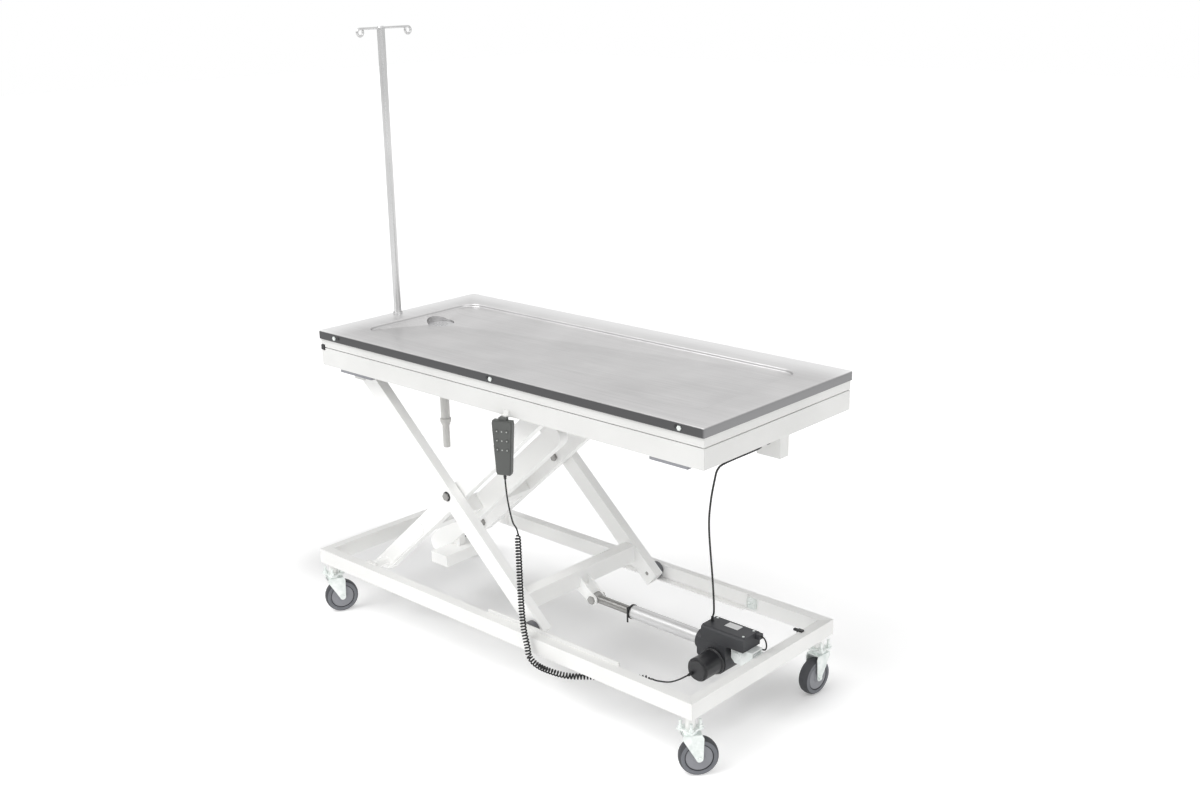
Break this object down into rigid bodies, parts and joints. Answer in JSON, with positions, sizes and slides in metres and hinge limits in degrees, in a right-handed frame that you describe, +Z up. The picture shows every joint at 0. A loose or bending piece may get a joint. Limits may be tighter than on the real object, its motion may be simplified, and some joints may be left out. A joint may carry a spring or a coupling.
{
  "type": "veterinary surgery table",
  "caption": "Mobile operating table for animals: sunk stainless tray with a drain on an electric scissor lift, with an end tilt, a drip pole and a hanging handset.",
  "frame": {"origin": "middle of the footprint on the floor, under the centre of the overall box, at the lift height drawn", "axes": "+Z up, +X along the table from the drain end to the motor end, -Y toward the side with the handset"},
  "size_m": [1.4829, 0.6781, 1.732],
  "materials": {
    "white_paint": "white powder coat",
    "stainless": "brushed stainless sheet",
    "zinc": "zinc plate",
    "polished_rod": "ground rod",
    "aluminium_tube": "drawn tube",
    "tyre_grey": "grey tread",
    "roller": "moulded roller",
    "black_paint": "satin black",
    "grey_housing": "moulded housing",
    "black_plastic": "moulded",
    "handset_grey": "fine grain",
    "key_cap": "pale key",
    "pipe_plastic": "pale pipe",
    "black_cord": "cord jacket"
  },
  "bodies": {
    "base": {"base_rails": "white_paint", "base_ends": "white_paint", "base_tracks": "white_paint", "rail_fittings": "zinc", "caster_plates": "zinc", "actuator_tube": "aluminium_tube", "wiper_ring": "black_plastic", "gear_housing": "grey_housing", "motor": "black_paint", "control_box": "grey_housing", "rear_bracket": "zinc", "handset_coil_run": "black_cord", "motor_lead": "black_cord", "motor_jumper": "black_cord"},
    "inner_arm_pair": {"inner_arms": "white_paint", "inner_cross_tubes": "white_paint", "inner_spine": "white_paint", "inner_pins": "zinc"},
    "outer_arm_pair": {"outer_arms": "white_paint", "outer_crossbar": "white_paint", "clevis_plates": "white_paint", "outer_pins": "zinc"},
    "actuator_rod": {"actuator_rod": "polished_rod"},
    "lift_frame": {"lift_rails": "white_paint", "lift_cross_members": "white_paint", "lift_tracks": "white_paint", "hinge_blocks": "black_paint", "frame_cleats": "white_paint", "tilt_housing": "white_paint", "handset_hook": "zinc", "handset_case": "handset_grey", "handset_lead": "black_cord"},
    "handset_coil": {"handset_coil_fall": "black_cord"},
    "tilt_cable": {"tilt_cable": "black_cord"},
    "deck": {"deck_frame": "white_paint", "tray": "stainless", "tray_bolts": "zinc", "drain_strainer": "stainless", "drain_pipe": "pipe_plastic", "pole_socket": "stainless"},
    "tilt_rod": {"tilt_rod": "polished_rod"},
    "drip_pole": {"drip_pole": "stainless"},
    "base_roller_near": {"base_roller_near": "roller"},
    "base_roller_far": {"base_roller_far": "roller"},
    "top_roller_near": {"top_roller_near": "roller"},
    "top_roller_far": {"top_roller_far": "roller"},
    "fork_near_left": {"fork_near_left": "zinc"},
    "wheel_near_left": {"wheel_near_left": "tyre_grey"},
    "fork_near_right": {"fork_near_right": "zinc"},
    "wheel_near_right": {"wheel_near_right": "tyre_grey"},
    "fork_far_left": {"fork_far_left": "zinc"},
    "wheel_far_left": {"wheel_far_left": "tyre_grey"},
    "fork_far_right": {"fork_far_right": "zinc"},
    "wheel_far_right": {"wheel_far_right": "tyre_grey"},
    "button_1": {"button_1": "key_cap"},
    "button_2": {"button_2": "key_cap"},
    "button_3": {"button_3": "key_cap"},
    "button_4": {"button_4": "key_cap"},
    "button_5": {"button_5": "key_cap"},
    "button_6": {"button_6": "key_cap"}
  },
  "joints": [
    {"name": "lift", "type": "hinge", "parent": "base", "child": "inner_arm_pair", "pos_m": [-0.531, 0, 0.2], "axis": [0, -1, 0], "range_deg": [-11, 10.2]},
    {"name": "scissor_centre", "type": "hinge", "parent": "inner_arm_pair", "child": "outer_arm_pair", "pos_m": [-0.20299, 0, 0.49327], "axis": [0, -1, 0], "range_deg": [-21, 22.5]},
    {"name": "outer_top_pivot", "type": "hinge", "parent": "outer_arm_pair", "child": "lift_frame", "pos_m": [-0.531, 0, 0.78655], "axis": [0, -1, 0], "range_deg": [-11.5, 10.7]},
    {"name": "rod_eye_pivot", "type": "hinge", "parent": "outer_arm_pair", "child": "actuator_rod", "pos_m": [0.12502, 0, 0.2], "axis": [0, -1, 0], "range_deg": [-11.5, 10.7]},
    {"name": "tray_tilt", "type": "hinge", "parent": "lift_frame", "child": "deck", "pos_m": [-0.65, 0, 0.85475], "axis": [0, -1, 0], "range_deg": [0, 4]},
    {"name": "tilt_rod_slide", "type": "slide", "parent": "lift_frame", "child": "tilt_rod", "axis": [0, 0, 1], "range_m": [-0.001, 0.097]},
    {"name": "coil_stretch", "type": "slide", "parent": "lift_frame", "child": "handset_coil", "axis": [0, 0, 1], "range_m": [-0.125, 0.135], "deforming": ["handset_coil_fall"]},
    {"name": "cable_stretch", "type": "slide", "parent": "lift_frame", "child": "tilt_cable", "axis": [0, 0, 1], "range_m": [-0.125, 0.135], "deforming": ["tilt_cable"]},
    {"name": "pole_turn", "type": "hinge", "parent": "deck", "child": "drip_pole", "pos_m": [-0.64, -0.024, 0.90395], "axis": [0, 0, 1], "continuous": true},
    {"name": "base_roller_near_spin", "type": "hinge", "parent": "outer_arm_pair", "child": "base_roller_near", "pos_m": [0.12502, -0.256, 0.2], "axis": [0, 1, 0], "continuous": true},
    {"name": "top_roller_near_spin", "type": "hinge", "parent": "inner_arm_pair", "child": "top_roller_near", "pos_m": [0.12502, -0.165, 0.78655], "axis": [0, 1, 0], "continuous": true},
    {"name": "base_roller_far_spin", "type": "hinge", "parent": "outer_arm_pair", "child": "base_roller_far", "pos_m": [0.12502, 0.256, 0.2], "axis": [0, 1, 0], "continuous": true},
    {"name": "top_roller_far_spin", "type": "hinge", "parent": "inner_arm_pair", "child": "top_roller_far", "pos_m": [0.12502, 0.165, 0.78655], "axis": [0, 1, 0], "continuous": true},
    {"name": "swivel_near_left", "type": "hinge", "parent": "base", "child": "fork_near_left", "pos_m": [-0.715, -0.275, 0.124], "axis": [0, 0, 1], "continuous": true},
    {"name": "roll_near_left", "type": "hinge", "parent": "fork_near_left", "child": "wheel_near_left", "pos_m": [-0.70655, -0.25687, 0.05], "axis": [0.9063, -0.4226, 0], "continuous": true},
    {"name": "swivel_near_right", "type": "hinge", "parent": "base", "child": "fork_near_right", "pos_m": [0.683, -0.275, 0.124], "axis": [0, 0, 1], "continuous": true},
    {"name": "roll_near_right", "type": "hinge", "parent": "fork_near_right", "child": "wheel_near_right", "pos_m": [0.69586, -0.25968, 0.05], "axis": [0.766, -0.6428, 0], "continuous": true},
    {"name": "swivel_far_left", "type": "hinge", "parent": "base", "child": "fork_far_left", "pos_m": [-0.715, 0.275, 0.124], "axis": [0, 0, 1], "continuous": true},
    {"name": "roll_far_left", "type": "hinge", "parent": "fork_far_left", "child": "wheel_far_left", "pos_m": [-0.71222, 0.2948, 0.05], "axis": [0.9903, -0.1392, 0], "continuous": true},
    {"name": "swivel_far_right", "type": "hinge", "parent": "base", "child": "fork_far_right", "pos_m": [0.683, 0.275, 0.124], "axis": [0, 0, 1], "continuous": true},
    {"name": "roll_far_right", "type": "hinge", "parent": "fork_far_right", "child": "wheel_far_right", "pos_m": [0.68126, 0.25508, 0.05], "axis": [-0.9962, 0.0872, 0], "continuous": true},
    {"name": "press_1", "type": "slide", "parent": "lift_frame", "child": "button_1", "axis": [-0.3746, 0.9272, 0], "range_m": [0, 0.0014], "stiffness_N_per_m": 900, "springref_m": -0.0006},
    {"name": "press_2", "type": "slide", "parent": "lift_frame", "child": "button_2", "axis": [-0.3746, 0.9272, 0], "range_m": [0, 0.0014], "stiffness_N_per_m": 900, "springref_m": -0.0006},
    {"name": "press_3", "type": "slide", "parent": "lift_frame", "child": "button_3", "axis": [-0.3746, 0.9272, 0], "range_m": [0, 0.0014], "stiffness_N_per_m": 900, "springref_m": -0.0006},
    {"name": "press_4", "type": "slide", "parent": "lift_frame", "child": "button_4", "axis": [-0.3746, 0.9272, 0], "range_m": [0, 0.0014], "stiffness_N_per_m": 900, "springref_m": -0.0006},
    {"name": "press_5", "type": "slide", "parent": "lift_frame", "child": "button_5", "axis": [-0.3746, 0.9272, 0], "range_m": [0, 0.0014], "stiffness_N_per_m": 900, "springref_m": -0.0006},
    {"name": "press_6", "type": "slide", "parent": "lift_frame", "child": "button_6", "axis": [-0.3746, 0.9272, 0], "range_m": [0, 0.0014], "stiffness_N_per_m": 900, "springref_m": -0.0006}
  ],
  "couplings": [
    {"joint": "scissor_centre", "follows": "lift", "ratio": -2},
    {"joint": "outer_top_pivot", "follows": "lift", "ratio": 1},
    {"joint": "rod_eye_pivot", "follows": "lift", "ratio": 1},
    {"joint": "coil_stretch", "follows": "lift", "m_per_rad": -0.656},
    {"joint": "cable_stretch", "follows": "lift", "m_per_rad": -0.656},
    {"joint": "tilt_rod_slide", "follows": "tray_tilt", "m_per_rad": 1.335}
  ]
}
